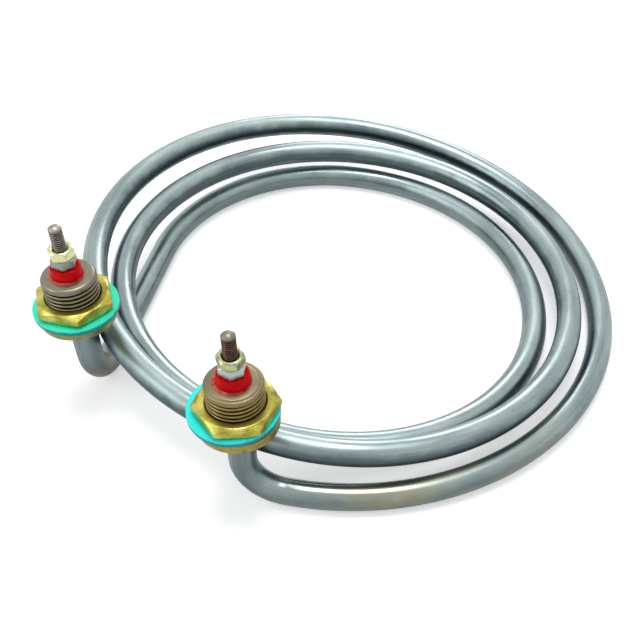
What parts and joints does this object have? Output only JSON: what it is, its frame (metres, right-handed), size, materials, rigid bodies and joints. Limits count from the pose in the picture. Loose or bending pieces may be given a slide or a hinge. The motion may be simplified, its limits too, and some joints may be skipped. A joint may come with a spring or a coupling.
{
  "type": "coiled immersion heating element",
  "caption": "Tubular immersion heating element bent into a loose flat coil, with threaded wall fittings, clamp nuts, gaskets and screw terminals on its ends.",
  "frame": {"origin": "midway between the axes of the two wall fittings, on the plane of their flange faces that seals against the tank wall", "axes": "+X from the left fitting to the right one, +Z along both fittings, out of the tank, +Y over the coil"},
  "size_m": [0.1944, 0.1984, 0.068],
  "materials": {
    "sheath_steel": "satin drawn stainless steel",
    "magnesia": "matt pressed powder",
    "winding_wire": "dull oxidised wire",
    "right_fitting_metal": "dull machined brass, tarnished",
    "left_fitting_metal": "dull grey tarnish on machined brass",
    "braze": "satin",
    "right_gasket_rubber": "matt moulded silicone rubber",
    "left_gasket_rubber": "matt moulded silicone rubber",
    "clamp_brass": "satin turned brass",
    "end_sealant": "satin",
    "bush_silicone": "glossy moulded silicone",
    "right_pin_steel": "light rust",
    "left_pin_steel": "dull steel",
    "right_lower_nut_zinc": "bright zinc plate",
    "right_upper_nut_zinc": "yellow passivated zinc plate",
    "left_lower_nut_zinc": "dull zinc plate",
    "left_upper_nut_zinc": "pale yellow passivated zinc plate"
  },
  "bodies": {
    "element": {"heating_sheath": "sheath_steel", "magnesia_fill": "magnesia", "resistance_winding": "winding_wire", "right_fitting": "right_fitting_metal", "right_braze": "braze", "right_end_seal": "end_sealant", "right_bush": "bush_silicone", "right_pin": "right_pin_steel", "right_lower_nut": "right_lower_nut_zinc", "left_fitting": "left_fitting_metal", "left_braze": "braze", "left_end_seal": "end_sealant", "left_bush": "bush_silicone", "left_pin": "left_pin_steel", "left_lower_nut": "left_lower_nut_zinc"},
    "right_gasket": {"right_gasket": "right_gasket_rubber"},
    "right_clamp_nut": {"right_clamp_nut": "clamp_brass"},
    "left_gasket": {"left_gasket": "left_gasket_rubber"},
    "left_clamp_nut": {"left_clamp_nut": "clamp_brass"},
    "right_upper_nut": {"right_upper_nut": "right_upper_nut_zinc"},
    "left_upper_nut": {"left_upper_nut": "left_upper_nut_zinc"}
  },
  "joints": [
    {"name": "right_gasket_slide", "type": "slide", "parent": "element", "child": "right_gasket", "axis": [0, 0, 1], "range_m": [0, 0.0075]},
    {"name": "right_clamp_nut_turn", "type": "hinge", "parent": "right_gasket", "child": "right_clamp_nut", "pos_m": [0.03441, 0, 0.004], "axis": [0, 0, 1], "range_deg": [0, 1800]},
    {"name": "right_upper_nut_slide", "type": "slide", "parent": "element", "child": "right_upper_nut", "axis": [0, 0, 1], "range_m": [0, 0.0063]},
    {"name": "left_gasket_slide", "type": "slide", "parent": "element", "child": "left_gasket", "axis": [0, 0, 1], "range_m": [0, 0.0075]},
    {"name": "left_clamp_nut_turn", "type": "hinge", "parent": "left_gasket", "child": "left_clamp_nut", "pos_m": [-0.03441, 0, 0.004], "axis": [0, 0, 1], "range_deg": [0, 1800]},
    {"name": "left_upper_nut_slide", "type": "slide", "parent": "element", "child": "left_upper_nut", "axis": [0, 0, 1], "range_m": [0, 0.0063]}
  ],
  "couplings": [
    {"joint": "right_gasket_slide", "follows": "right_clamp_nut_turn", "m_per_rad": 0.00023873},
    {"joint": "left_gasket_slide", "follows": "left_clamp_nut_turn", "m_per_rad": 0.00023873}
  ]
}
